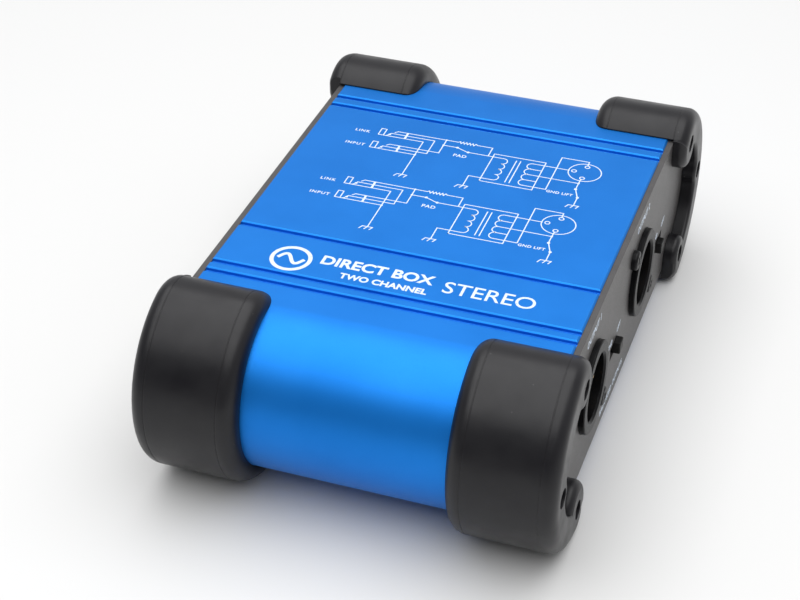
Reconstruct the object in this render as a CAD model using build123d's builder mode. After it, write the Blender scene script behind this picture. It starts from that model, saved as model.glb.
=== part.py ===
from build123d import *
from math import cos, radians, sin
import os

# A two-channel passive direct box: a flat oval aluminium sleeve that runs along X,
# closed by an output panel at +X and an input panel at -X, with four rubber corner bumpers.
# -Y is the front side, +Z is up, and the bumpers stand on the plane Z = 0.

# Sleeve
SLEEVE_LENGTH = 90.0
SLEEVE_RADIUS = 21.0
SLEEVE_WALL = 2.0
NOSE_Y = 52.9
AXIS_Z = 25.2
GROOVE_CENTRES = (-44.4, -40.5, -23.6, 38.6, 43.0)
GROOVE_MOUTH = 2.1
GROOVE_THROAT = 1.5
GROOVE_FLOOR = 1.2
GROOVE_LIP = 0.25
GROOVE_DEPTH = 0.95
END_CHAMFER = 0.4
SCREW_PORT_RADIUS = 2.8
SCREW_PILOT_RADIUS = 1.2
GUIDE_RIB = 1.2
GUIDE_REACH = 61.5

# End panels
PANEL_THICKNESS = 1.5
PANEL_RADIUS = 20.4
END_SCREW_RADIUS = 1.15
END_SCREW_CLEARANCE = 1.5

# Rubber bumpers: round outside, tapering to a thin edge along each arm
BUMPER_RADIUS = 25.5
BUMPER_TAPER_ANGLES = (72.0, -84.0)
BUMPER_ARM = 3.7
BUMPER_EDGE = 0.3
BUMPER_INNER_X = 24.5
BUMPER_OUTER_X = 50.25
BUMPER_INNER_ROUND = 3.8
BUMPER_OUTER_ROUND = 3.2
BUMPER_GAP = 0.05
FLANGE_BORE = 16.4
FLANGE_BOSS = 3.9
FLANGE_BLEND = 3.0
FLANGE_ROUND = 0.9
LARGE_LOBE = 6.8
LARGE_LOBE_ROUND = 2.2
SMALL_LOBE = 5.0
SMALL_LOBE_ROUND = 1.6
LOBE_SINK = 0.08
BOSS_OFFSETS = ((2.4, 17.4), (19.0, 0.0), (2.4, -17.4))
HEAD_POCKET_RADIUS = 2.4
HEAD_POCKET_DEPTH = 2.3
SCRIBE_WIDTH = 0.25
SCRIBE_DEPTH = 0.06
SCRIBE_INSETS = (4.1, 3.9)

# Channels: the second channel repeats the first one further back
CHANNELS = (1, 2)
CHANNEL_PITCH = 49.6
XLR_Y = -33.5
LIFT_Y = -9.75
LINK_Y = -42.0
INPUT_Y = -22.5
PAD_Y = -8.0
TRANSFORMER_Y = -25.0

# Three-pin output connectors
XLR_RISE = 1.2
XLR_RING_RADIUS = 11.35
XLR_RING_GAP = 0.1
XLR_BARREL_RADIUS = 10.5
XLR_CAVITY_RADIUS = 8.3
XLR_MOUTH_CHAMFER = 0.5
XLR_PROUD = 1.5
XLR_FLANGE = 1.8
XLR_BACK_X = 27.0
XLR_LIP_X = 30.0
XLR_FLOOR_X = 34.5
XLR_EAR_RADIUS = 14.0
XLR_EAR_WIDTH = 7.2
XLR_PIN_OFFSETS = ((-4.0, 0.0), (4.0, 0.0), (0.0, -4.0))
XLR_PIN_RADIUS = 1.2
XLR_PIN_TIP_X = 46.2
XLR_SCREW_HEAD_RADIUS = 2.5
XLR_SCREW_HEAD = 1.6
XLR_SCREW_RADIUS = 1.45
XLR_SCREW_HOLE = 1.6
XLR_NUT = 2.2
XLR_PIN_TAIL_X = 24.0
WIRE_RADIUS = 0.65
WIRE_DROP_X = 18.0

# Slide switches
SWITCH_DROP = 4.6
SWITCH_TRAVEL = 3.4
SWITCH_LEVER_Y = 3.2
SWITCH_LEVER_Z = 3.0
SWITCH_PROUD = 1.7
SWITCH_SLOT_Y = 7.0
SWITCH_SLOT_Z = 3.6
SWITCH_FRAME = (5.6, 13.0, 7.0)
SWITCH_SHEET = 0.4
SWITCH_BASE = 1.0

# Quarter-inch jacks
JACK_DEPTH = 28.0
JACK_WIDTH = 15.0
JACK_HEIGHT_ABOVE_AXIS = 8.0
JACK_BORE = 4.0
BUSHING_BORE = 3.25
BUSHING_RADIUS = 4.7
BUSHING_FLANGE_RADIUS = 6.0
BUSHING_FLANGE = 1.2
BUSHING_END_X = 50.2
WASHER_RADIUS = 7.0
WASHER_THICKNESS = 0.5
NUT_ACROSS_FLATS = 13.0
NUT_THICKNESS = 2.2

# Circuit board and what stands on it
BOARD_TOP = AXIS_Z - 12.5
BOARD_THICKNESS = 1.6
BOARD_HALF_WIDTH = 65.0
BOARD_HALF_LENGTH = 42.2
LEAD_RADIUS = 0.4
LEAD_HOLE_RADIUS = 0.6
LEAD_STUB = 1.4
TRANSFORMER_X = 1.0
CORE_SIZE = (8.0, 24.0, 20.0)
CORE_BASE_Z = BOARD_TOP + 2.0
CORE_LEG = 8.0
CORE_WINDOW = 12.0
CORE_YOKE = 4.0
RESISTOR_X = (-13.2, -10.2)
RESISTOR_Y = (-31.0, -18.5)
RESISTOR_RADIUS = 1.15
RESISTOR_LENGTH = 6.3
RESISTOR_LEAD_RADIUS = 0.3
RESISTOR_PITCH = 10.0
CAPACITOR_X = 30.5
CAPACITOR_SIZE = (2.5, 7.2, 6.5)
CAPACITOR_PITCH = 5.0

PANEL_INNER_X = SLEEVE_LENGTH / 2
PANEL_OUTER_X = PANEL_INNER_X + PANEL_THICKNESS
SWITCH_Z = AXIS_Z - SWITCH_DROP
BOARD_BOTTOM = BOARD_TOP - BOARD_THICKNESS
LEAD_END_Z = BOARD_BOTTOM - LEAD_STUB


def section(x):
    """Plane across the sleeve at x: its first direction is +Y, its second +Z."""
    return Plane(origin=(x, 0, AXIS_Z), x_dir=(0, 1, 0), z_dir=(1, 0, 0))


def level(z):
    """Horizontal plane at height z."""
    return Plane.XY.offset(z)


def channel_shift(channel):
    return (channel - 1) * CHANNEL_PITCH


def save(part, name):
    part.label = name
    export_step(part, f"parts/{name}.step")


def end_screw_points():
    """Six screw places on a sleeve end: three round the axis of each nose."""
    return [(side * (NOSE_Y + out), up) for side in (-1, 1) for out, up in BOSS_OFFSETS]


def ear_points(y):
    """Two screw places of an output connector, on the diagonal through its middle."""
    reach = XLR_EAR_RADIUS * 2**-0.5
    return [(y - reach, XLR_RISE + reach), (y + reach, XLR_RISE - reach)]


# ---------------------------------------------------------------- housing


def make_sleeve():
    groove_points = [(y, side) for y in GROOVE_CENTRES for side in (1, -1)]
    oversize = SLEEVE_RADIUS + 0.5
    with BuildPart() as outline:
        with BuildSketch(section(-SLEEVE_LENGTH / 2)):
            SlotCenterToCenter(2 * NOSE_Y, 2 * SLEEVE_RADIUS)
        extrude(amount=SLEEVE_LENGTH)
        chamfer(outline.faces().filter_by(Axis.X).edges(), END_CHAMFER)
    with BuildPart() as sleeve:
        with BuildSketch(section(-SLEEVE_LENGTH / 2)):
            SlotCenterToCenter(2 * NOSE_Y, 2 * oversize)
            SlotCenterToCenter(2 * NOSE_Y, 2 * (SLEEVE_RADIUS - SLEEVE_WALL), mode=Mode.SUBTRACT)
            with Locations(*end_screw_points()):
                Circle(SCREW_PORT_RADIUS)
            guide_top = BOARD_TOP + 0.2 - AXIS_Z
            guide_bottom = BOARD_BOTTOM - 0.2 - AXIS_Z
            rib_length = NOSE_Y + SLEEVE_RADIUS - GUIDE_REACH
            for side in (-1, 1):
                rib_y = side * (GUIDE_REACH + rib_length / 2)
                with Locations((rib_y, guide_top + GUIDE_RIB / 2), (rib_y, guide_bottom - GUIDE_RIB / 2)):
                    Rectangle(rib_length, GUIDE_RIB)
            SlotCenterToCenter(2 * NOSE_Y, 2 * oversize, mode=Mode.INTERSECT)
            with Locations(*end_screw_points()):
                Circle(SCREW_PILOT_RADIUS, mode=Mode.SUBTRACT)
            for y, side in groove_points:
                top = side * (oversize + 0.1)
                face = side * SLEEVE_RADIUS
                throat = side * (SLEEVE_RADIUS - GROOVE_LIP)
                floor = side * (SLEEVE_RADIUS - GROOVE_DEPTH)
                with BuildLine():
                    Polyline(
                        (y - GROOVE_MOUTH / 2, top),
                        (y + GROOVE_MOUTH / 2, top),
                        (y + GROOVE_MOUTH / 2, face),
                        (y + GROOVE_THROAT / 2, throat),
                        (y + GROOVE_FLOOR / 2, floor),
                        (y - GROOVE_FLOOR / 2, floor),
                        (y - GROOVE_THROAT / 2, throat),
                        (y - GROOVE_MOUTH / 2, face),
                        close=True,
                    )
                make_face(mode=Mode.SUBTRACT)
        extrude(amount=SLEEVE_LENGTH)
        add(outline.part, mode=Mode.INTERSECT)
    return sleeve.part


def make_output_panel():
    with BuildPart() as panel:
        with BuildSketch(section(PANEL_INNER_X)):
            SlotCenterToCenter(2 * NOSE_Y, 2 * PANEL_RADIUS)
            with Locations(*end_screw_points()):
                Circle(END_SCREW_CLEARANCE, mode=Mode.SUBTRACT)
            for channel in CHANNELS:
                xlr_y = XLR_Y + channel_shift(channel)
                with Locations((xlr_y, XLR_RISE)):
                    Circle(XLR_RING_RADIUS + XLR_RING_GAP, mode=Mode.SUBTRACT)
                with Locations(*ear_points(xlr_y)):
                    Circle(XLR_SCREW_HOLE, mode=Mode.SUBTRACT)
                with Locations((LIFT_Y + channel_shift(channel), -SWITCH_DROP)):
                    Rectangle(SWITCH_SLOT_Y, SWITCH_SLOT_Z, mode=Mode.SUBTRACT)
        extrude(amount=PANEL_THICKNESS)
    return panel.part


def make_input_panel():
    with BuildPart() as panel:
        with BuildSketch(section(-PANEL_OUTER_X)):
            SlotCenterToCenter(2 * NOSE_Y, 2 * PANEL_RADIUS)
            with Locations(*end_screw_points()):
                Circle(END_SCREW_CLEARANCE, mode=Mode.SUBTRACT)
            for channel in CHANNELS:
                shift = channel_shift(channel)
                with Locations((LINK_Y + shift, 0), (INPUT_Y + shift, 0)):
                    Circle(BUSHING_RADIUS + 0.15, mode=Mode.SUBTRACT)
                with Locations((PAD_Y + shift, -SWITCH_DROP)):
                    Rectangle(SWITCH_SLOT_Y, SWITCH_SLOT_Z, mode=Mode.SUBTRACT)
        extrude(amount=PANEL_THICKNESS)
    return panel.part


def make_end_screws(side):
    """Six pan-head screws through the bumper flanges and the panel into the sleeve's ports."""
    head_seat = side * (BUMPER_OUTER_X - HEAD_POCKET_DEPTH)
    with BuildPart() as screws:
        with BuildSketch(section(head_seat)):
            with Locations(*end_screw_points()):
                Circle(2.25)
        extrude(amount=side * 1.6)
        outer = screws.faces().filter_by(Axis.X).sort_by(Axis.X)
        fillet((outer[-6:] if side > 0 else outer[:6]).edges(), 0.7)
        with BuildSketch(section(head_seat)):
            with Locations(*end_screw_points()):
                Circle(END_SCREW_RADIUS)
        extrude(amount=-side * 12.0)
        with BuildSketch(section(head_seat + side * 0.8)):
            with Locations(*end_screw_points()):
                Rectangle(2.3, 0.5)
                Rectangle(0.5, 2.3)
        extrude(amount=side * 1.0, mode=Mode.SUBTRACT)
    return screws.part


def cap_outline(extension=0.0):
    """Outline round the rear nose: a round outside, and an arc down to each arm's thin edge.

    With an extension, straight arms carry the outline further inboard."""
    top_angle, bottom_angle = BUMPER_TAPER_ANGLES
    edge_y = NOSE_Y - BUMPER_ARM
    edge_z = SLEEVE_RADIUS + BUMPER_EDGE
    with BuildLine() as outline:
        CenterArc((NOSE_Y, 0), BUMPER_RADIUS, bottom_angle, top_angle - bottom_angle)
        for degrees, up in ((top_angle, 1), (bottom_angle, -1)):
            angle = radians(degrees)
            start = (NOSE_Y + BUMPER_RADIUS * cos(angle), BUMPER_RADIUS * sin(angle))
            TangentArc(start, (edge_y, up * edge_z), tangent=(-abs(sin(angle)), up * cos(angle)))
            if extension:
                Line((edge_y, up * edge_z), (edge_y - extension, up * edge_z))
        Line((edge_y - extension, edge_z), (edge_y - extension, -edge_z))
    return outline.edges()


def make_bumper(side_x, side_y):
    """One corner bumper, drawn at the rear output corner and mirrored to its own corner.

    One moulding fits all four corners turned about, so the larger lobe is the upper one
    on two opposite corners and the lower one on the other two."""
    length = BUMPER_OUTER_X - BUMPER_INNER_X
    flange = BUMPER_OUTER_X - PANEL_OUTER_X
    boss_points = [(NOSE_Y + out, up) for out, up in BOSS_OFFSETS]
    lobe_offset, lobe_height = BOSS_OFFSETS[0]
    if side_x * side_y > 0:
        large_point, small_point = boss_points[0], boss_points[2]
        large_side = Align.MIN
        small_side = Align.MAX
    else:
        large_point, small_point = boss_points[2], boss_points[0]
        large_side = Align.MAX
        small_side = Align.MIN
    large_end = large_point[0] - LARGE_LOBE
    small_end = small_point[0] - SMALL_LOBE

    # the two lobes round the upper and lower screws, with rounded rims, kept a hair inside the outline
    with BuildPart() as outside:
        with BuildSketch(section(BUMPER_INNER_X)):
            make_face(cap_outline(extension=12))
            offset(amount=-LOBE_SINK)
        extrude(amount=length - LOBE_SINK)
        fillet(outside.faces().sort_by(Axis.X)[-1].edges(), BUMPER_OUTER_ROUND - LOBE_SINK)
    lobes = [
        make_lobe(large_point, LARGE_LOBE, LARGE_LOBE_ROUND, outside.part),
        make_lobe(small_point, SMALL_LOBE, SMALL_LOBE_ROUND, outside.part),
    ]

    with BuildPart() as bumper:
        with BuildSketch(section(BUMPER_INNER_X)):
            make_face(cap_outline())
        extrude(amount=length)
        fillet(bumper.faces().sort_by(Axis.X)[0].edges(), BUMPER_INNER_ROUND)
        fillet(bumper.faces().sort_by(Axis.X)[-1].edges(), BUMPER_OUTER_ROUND)
        # the opening in the flange, with a boss left standing round the middle screw
        with BuildSketch(section(PANEL_OUTER_X)) as opening:
            with Locations((NOSE_Y, 0)):
                Circle(FLANGE_BORE)
            with Locations((NOSE_Y + lobe_offset - 10, 0)):
                Rectangle(20, 2 * lobe_height)
            with Locations((large_end, 0)):
                Rectangle(20, 30, align=(Align.MAX, large_side))
            with Locations((small_end, 0)):
                Rectangle(20, 30, align=(Align.MAX, small_side))
            with Locations(boss_points[1]):
                Circle(FLANGE_BOSS, mode=Mode.SUBTRACT)
            fillet(opening.vertices().sort_by(Axis.X)[-2:], FLANGE_BLEND)
        extrude(amount=2 * flange, mode=Mode.SUBTRACT)
        fillet(opening_edges(bumper), FLANGE_ROUND)
        add(lobes)
        # the space that the sleeve and the panel fill
        with BuildSketch(section(BUMPER_INNER_X - 1)):
            SlotCenterToCenter(2 * NOSE_Y, 2 * (SLEEVE_RADIUS + BUMPER_GAP))
        extrude(amount=PANEL_OUTER_X - BUMPER_INNER_X + 1, mode=Mode.SUBTRACT)
        # screw holes with pockets for the heads
        with BuildSketch(section(PANEL_OUTER_X - 1)):
            with Locations(*boss_points):
                Circle(END_SCREW_CLEARANCE)
        extrude(amount=2 * flange, mode=Mode.SUBTRACT)
        with BuildSketch(section(BUMPER_OUTER_X - HEAD_POCKET_DEPTH)):
            with Locations(*boss_points):
                Circle(HEAD_POCKET_RADIUS)
        extrude(amount=2 * flange, mode=Mode.SUBTRACT)
        # a fine moulding line where each end starts to round over
        for x in (BUMPER_INNER_X + SCRIBE_INSETS[0], BUMPER_OUTER_X - SCRIBE_INSETS[1]):
            with BuildSketch(section(x - SCRIBE_WIDTH / 2)):
                make_face(cap_outline())
                offset(amount=-SCRIBE_DEPTH, mode=Mode.SUBTRACT)
            extrude(amount=SCRIBE_WIDTH, mode=Mode.SUBTRACT)
        # the flat that the rubber rests on
        Box(200, 200, 10, align=(Align.CENTER, Align.CENTER, Align.MAX), mode=Mode.SUBTRACT)
        if side_x < 0:
            mirror(about=Plane.YZ, mode=Mode.REPLACE)
        if side_y < 0:
            mirror(about=Plane.XZ, mode=Mode.REPLACE)
    return bumper.part


def make_lobe(point, radius, rim_round, outside):
    """Round-ended lobe of the flange at a screw, reaching out to the bumper's outside."""
    outward = Align.MIN if point[1] > 0 else Align.MAX
    with BuildPart() as lobe:
        with BuildSketch(section(PANEL_OUTER_X)):
            with Locations(point):
                Circle(radius)
                Rectangle(2 * radius, 2 * radius, align=(Align.CENTER, outward))
        extrude(amount=BUMPER_OUTER_X - PANEL_OUTER_X)
        fillet(lobe.faces().filter_by(Axis.X).sort_by(Axis.X)[-1].edges(), rim_round)
        add(outside, mode=Mode.INTERSECT)
    return lobe.part


def opening_edges(bumper):
    """Edges of the outer face that run round the opening, inside the bumper's own outline."""
    face = bumper.faces().filter_by(Axis.X).sort_by(Axis.X)[-1]
    reach = BUMPER_RADIUS - BUMPER_OUTER_ROUND - 0.6

    def inside(edge):
        middle = edge @ 0.5
        return ((middle.Y - NOSE_Y) ** 2 + (middle.Z - AXIS_Z) ** 2) ** 0.5 < reach

    return face.edges().filter_by(inside)


# ---------------------------------------------------------------- output connectors


def pin_points(y):
    """Three contact places round the middle of an output connector."""
    return [(y + across, XLR_RISE + up) for across, up in XLR_PIN_OFFSETS]


def make_xlr_shell(y):
    """Shell that comes through the panel from behind, with a two-eared flange inside."""
    middle = (y, XLR_RISE)
    front_x = PANEL_OUTER_X + XLR_PROUD
    with BuildPart() as shell:
        with BuildSketch(section(PANEL_INNER_X - XLR_FLANGE)):
            with Locations(middle):
                Circle(XLR_RING_RADIUS)
        extrude(amount=front_x - PANEL_INNER_X + XLR_FLANGE)
        fillet(shell.faces().sort_by(Axis.X)[-1].edges(), 0.4)
        with BuildSketch(section(PANEL_INNER_X - XLR_FLANGE)):
            with Locations(middle):
                SlotCenterToCenter(2 * XLR_EAR_RADIUS, XLR_EAR_WIDTH, rotation=135)
        extrude(amount=XLR_FLANGE)
        with BuildSketch(section(XLR_BACK_X)):
            with Locations(middle):
                Circle(XLR_BARREL_RADIUS)
        extrude(amount=PANEL_INNER_X - XLR_BACK_X)
        with BuildSketch(section(XLR_BACK_X)):
            with Locations(middle):
                Circle(XLR_CAVITY_RADIUS - 1.0)
        extrude(amount=30, mode=Mode.SUBTRACT)
        with BuildSketch(section(XLR_LIP_X)):
            with Locations(middle):
                Circle(XLR_CAVITY_RADIUS)
        extrude(amount=30, mode=Mode.SUBTRACT)
        rim = shell.faces().sort_by(Axis.X)[-1].edges().filter_by(GeomType.CIRCLE)
        chamfer([e for e in rim if abs(e.radius - XLR_CAVITY_RADIUS) < 0.01], XLR_MOUTH_CHAMFER)
        with BuildSketch(section(PANEL_INNER_X - XLR_FLANGE)):
            with Locations(*ear_points(y)):
                Circle(XLR_SCREW_HOLE)
        extrude(amount=XLR_FLANGE, mode=Mode.SUBTRACT)
    return shell.part


def make_xlr_insert(y):
    with BuildPart() as insert:
        with BuildSketch(section(XLR_LIP_X)):
            with Locations((y, XLR_RISE)):
                Circle(XLR_CAVITY_RADIUS - 0.05)
            with Locations(*pin_points(y)):
                Circle(XLR_PIN_RADIUS + 0.05, mode=Mode.SUBTRACT)
        extrude(amount=XLR_FLOOR_X - XLR_LIP_X)
    return insert.part


def make_xlr_pins(y):
    with BuildPart() as pins:
        with BuildSketch(section(XLR_PIN_TAIL_X)):
            with Locations(*pin_points(y)):
                Circle(XLR_PIN_RADIUS)
        extrude(amount=XLR_PIN_TIP_X - XLR_PIN_TAIL_X)
        fillet(pins.faces().filter_by(Axis.X).sort_by(Axis.X)[-3:].edges(), 1.0)
    return pins.part


def make_xlr_wires(y):
    """Three insulated wires from the contact tails down to the board."""
    with BuildPart() as wires:
        for wire_y, up in pin_points(y):
            height = AXIS_Z + up
            with BuildLine() as route:
                FilletPolyline(
                    (XLR_PIN_TAIL_X, wire_y, height),
                    (WIRE_DROP_X, wire_y, height),
                    (WIRE_DROP_X, wire_y, BOARD_TOP),
                    radius=3.0,
                )
            with BuildSketch(Plane(origin=route.line @ 0, z_dir=route.line % 0)):
                Circle(WIRE_RADIUS)
            sweep(path=route.line)
    return wires.part


def make_xlr_screws():
    """Four cross-head screws, two to a connector, with their heads on the panel."""
    places = [p for c in CHANNELS for p in ear_points(XLR_Y + channel_shift(c))]
    end_x = PANEL_INNER_X - XLR_FLANGE - XLR_NUT - 0.8
    with BuildPart() as screws:
        with BuildSketch(section(PANEL_OUTER_X)):
            with Locations(*places):
                Circle(XLR_SCREW_HEAD_RADIUS)
        extrude(amount=XLR_SCREW_HEAD)
        fillet(screws.faces().filter_by(Axis.X).sort_by(Axis.X)[-4:].edges(), 0.7)
        with BuildSketch(section(end_x)):
            with Locations(*places):
                Circle(XLR_SCREW_RADIUS)
        extrude(amount=PANEL_OUTER_X - end_x)
        with BuildSketch(section(PANEL_OUTER_X + 0.8)):
            with Locations(*places):
                Rectangle(2.8, 0.6, rotation=20)
                Rectangle(0.6, 2.8, rotation=20)
        extrude(amount=2, mode=Mode.SUBTRACT)
    return screws.part


def make_xlr_nuts():
    places = [p for c in CHANNELS for p in ear_points(XLR_Y + channel_shift(c))]
    with BuildPart() as nuts:
        with BuildSketch(section(PANEL_INNER_X - XLR_FLANGE - XLR_NUT)):
            with Locations(*places):
                RegularPolygon(2.75, 6, major_radius=False)
                Circle(XLR_SCREW_RADIUS + 0.05, mode=Mode.SUBTRACT)
        extrude(amount=XLR_NUT)
    return nuts.part


# ---------------------------------------------------------------- slide switches


def switch_pin_offsets():
    return [(along, across) for along in (-4.0, 0.0, 4.0) for across in (0, 1)]


def make_switch_frame(side, y):
    """Bent steel frame behind the panel, open at the back, with a window for the lever."""
    depth, width, height = SWITCH_FRAME
    with BuildPart() as frame:
        with BuildSketch(section(side * PANEL_INNER_X)):
            with Locations((y, -SWITCH_DROP)):
                Rectangle(width, height)
        extrude(amount=-side * depth)
        with BuildSketch(section(side * (PANEL_INNER_X - SWITCH_SHEET))):
            with Locations((y, -SWITCH_DROP)):
                Rectangle(width - 2 * SWITCH_SHEET, height - 2 * SWITCH_SHEET)
        extrude(amount=-side * depth, mode=Mode.SUBTRACT)
        with BuildSketch(section(side * PANEL_INNER_X)):
            with Locations((y, -SWITCH_DROP)):
                Rectangle(SWITCH_SLOT_Y, SWITCH_SLOT_Z)
        extrude(amount=-side * 2 * SWITCH_SHEET, mode=Mode.SUBTRACT)
    return frame.part


def make_switch_base(side, y):
    """Laminate plate that closes the frame and holds the terminals."""
    depth, width, height = SWITCH_FRAME
    with BuildPart() as base:
        with BuildSketch(section(side * (PANEL_INNER_X - depth))):
            with Locations((y, -SWITCH_DROP)):
                Rectangle(width, height)
        extrude(amount=-side * SWITCH_BASE)
    return base.part


def make_switch_slider(side, y):
    """Lever and the carriage that it moves, at y."""
    lever_x = side * (PANEL_OUTER_X + SWITCH_PROUD)
    with BuildPart() as slider:
        with BuildSketch(section(lever_x)):
            with Locations((y, -SWITCH_DROP)):
                Rectangle(SWITCH_LEVER_Y, SWITCH_LEVER_Z)
        extrude(amount=-side * (PANEL_THICKNESS + SWITCH_PROUD + 1.5))
        tip = slider.faces().filter_by(Axis.X).sort_by(Axis.X)[-1 if side > 0 else 0]
        fillet(tip.edges(), 0.35)
        with BuildSketch(section(side * (PANEL_INNER_X - 0.7))):
            with Locations((y, -SWITCH_DROP)):
                Rectangle(6.4, 5.6)
        extrude(amount=-side * 4.0)
    return slider.part


def switch_terminal_places():
    """Each terminal as its panel side, its Y, its height on the base and its X on the board."""
    places = []
    for side, first_y in ((1, LIFT_Y), (-1, PAD_Y)):
        for channel in CHANNELS:
            for along, across in switch_pin_offsets():
                y = first_y + channel_shift(channel) + along
                foot_x = side * (PANEL_INNER_X - SWITCH_FRAME[0] - SWITCH_BASE - 1.6 - 2.5 * across)
                places.append((side, y, SWITCH_Z - 1.6 + 3.2 * across, foot_x))
    return places


def make_switch_terminals():
    back_x = PANEL_INNER_X - SWITCH_FRAME[0] - SWITCH_BASE
    with BuildPart() as terminals:
        for side, y, height, foot_x in switch_terminal_places():
            with BuildLine() as route:
                Polyline(
                    (side * back_x, y, height),
                    (foot_x, y, height),
                    (foot_x, y, LEAD_END_Z),
                )
            with BuildSketch(Plane(origin=route.line @ 0, z_dir=route.line % 0)):
                Rectangle(2 * LEAD_RADIUS, 2 * LEAD_RADIUS)
            sweep(path=route.line, transition=Transition.RIGHT)
    return terminals.part


# ---------------------------------------------------------------- jacks


def make_jack_body(y):
    """Moulded body on the board, with the plug's bore and slots for its two springs."""
    height = AXIS_Z + JACK_HEIGHT_ABOVE_AXIS - BOARD_TOP
    front_x = -PANEL_INNER_X
    with BuildPart() as body:
        with BuildSketch(level(BOARD_TOP)):
            with Locations((front_x + JACK_DEPTH / 2, y)):
                Rectangle(JACK_DEPTH, JACK_WIDTH)
        extrude(amount=height)
        chamfer(body.edges().filter_by(Axis.X).sort_by(Axis.Z)[-2:], 2.0)
        with BuildSketch(section(front_x)):
            with Locations((y, 0)):
                Circle(JACK_BORE)
        extrude(amount=JACK_DEPTH - 1.0, mode=Mode.SUBTRACT)
        with BuildSketch(section(front_x)):
            with Locations((y, 0)):
                Circle(BUSHING_FLANGE_RADIUS + 0.05)
        extrude(amount=BUSHING_FLANGE, mode=Mode.SUBTRACT)
        with BuildSketch(level(AXIS_Z)):
            with Locations((front_x + JACK_DEPTH - 5.5, y)):
                Rectangle(11.0, 3.0)
        extrude(amount=20, mode=Mode.SUBTRACT)
        with BuildSketch(level(BOARD_TOP)):
            with Locations((front_x + 6.5, y)):
                Rectangle(6.0, 3.0)
        extrude(amount=AXIS_Z - BOARD_TOP, mode=Mode.SUBTRACT)
    return body.part


def make_jack_bushing(y):
    """Threaded bushing with the flange that sits in the body."""
    with BuildPart() as bushing:
        with BuildSketch(section(-BUSHING_END_X)):
            with Locations((y, 0)):
                Circle(BUSHING_RADIUS)
        extrude(amount=BUSHING_END_X - PANEL_INNER_X + BUSHING_FLANGE)
        chamfer(bushing.faces().sort_by(Axis.X)[0].edges(), 0.5)
        with BuildSketch(section(-PANEL_INNER_X)):
            with Locations((y, 0)):
                Circle(BUSHING_FLANGE_RADIUS)
        extrude(amount=BUSHING_FLANGE)
        with BuildSketch(section(-BUSHING_END_X)):
            with Locations((y, 0)):
                Circle(BUSHING_BORE)
        extrude(amount=20, mode=Mode.SUBTRACT)
    return bushing.part


def make_jack_contacts(y):
    """Tip spring over the back of the body and sleeve spring under the bore."""
    back_x = -PANEL_INNER_X + JACK_DEPTH
    top = AXIS_Z + JACK_HEIGHT_ABOVE_AXIS
    with BuildPart() as contacts:
        with BuildSketch(Plane.XZ.offset(-y)):
            with BuildLine():
                Polyline(
                    (back_x + 0.6, LEAD_END_Z),
                    (back_x + 0.6, top + 0.6),
                    (back_x - 9.0, top + 0.6),
                    (back_x - 9.0, top - 2.6),
                    (back_x - 4.5, AXIS_Z + 3.0),
                    (back_x - 2.0, top - 3.2),
                )
            trace(line_width=0.5)
        extrude(amount=0.7, both=True)
        with BuildSketch(Plane.XZ.offset(-y)):
            with BuildLine():
                Polyline(
                    (-PANEL_INNER_X + 4.2, LEAD_END_Z),
                    (-PANEL_INNER_X + 4.2, AXIS_Z - 4.2),
                    (-PANEL_INNER_X + 6.6, AXIS_Z - 3.1),
                    (-PANEL_INNER_X + 8.8, AXIS_Z - 4.4),
                )
            trace(line_width=0.5)
        extrude(amount=0.7, both=True)
    return contacts.part


def jack_places():
    return [(y + channel_shift(c), 0) for c in CHANNELS for y in (LINK_Y, INPUT_Y)]


def make_jack_washers():
    with BuildPart() as washers:
        with BuildSketch(section(-PANEL_OUTER_X)):
            with Locations(*jack_places()):
                Circle(WASHER_RADIUS)
                Circle(BUSHING_RADIUS + 0.05, mode=Mode.SUBTRACT)
        extrude(amount=-WASHER_THICKNESS)
    return washers.part


def make_jack_nuts():
    with BuildPart() as nuts:
        with BuildSketch(section(-PANEL_OUTER_X - WASHER_THICKNESS)):
            with Locations(*jack_places()):
                RegularPolygon(NUT_ACROSS_FLATS / 2, 6, major_radius=False)
        extrude(amount=-NUT_THICKNESS)
        with BuildSketch(section(-PANEL_OUTER_X - WASHER_THICKNESS)):
            with Locations(*jack_places()):
                Circle(NUT_ACROSS_FLATS / 2 + 0.45)
        extrude(amount=-NUT_THICKNESS, taper=10, mode=Mode.INTERSECT)
        with BuildSketch(section(-PANEL_OUTER_X)):
            with Locations(*jack_places()):
                Circle(BUSHING_RADIUS + 0.05)
        extrude(amount=-10, mode=Mode.SUBTRACT)
    return nuts.part


# ---------------------------------------------------------------- board and transformers


def transformer_pin_places(y):
    return [(TRANSFORMER_X + dx, y + dy) for dx in (-6.2, 6.2) for dy in (-7.5, -2.5, 2.5, 7.5)]


def make_transformer_core(y):
    """Laminated E and I pieces with a window on each side of the middle leg."""
    depth, width, height = CORE_SIZE
    side_window = (width / 2 - CORE_LEG / 2) / 2
    with BuildPart() as core:
        with BuildSketch(section(TRANSFORMER_X - depth / 2)):
            with Locations((y, CORE_BASE_Z + height / 2 - AXIS_Z)):
                Rectangle(width, height)
            middle = CORE_BASE_Z + CORE_YOKE + CORE_WINDOW / 2 - AXIS_Z
            shift = CORE_LEG / 2 + side_window / 2
            with Locations((y - shift, middle), (y + shift, middle)):
                Rectangle(side_window, CORE_WINDOW, mode=Mode.SUBTRACT)
        extrude(amount=depth)
    return core.part


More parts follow.
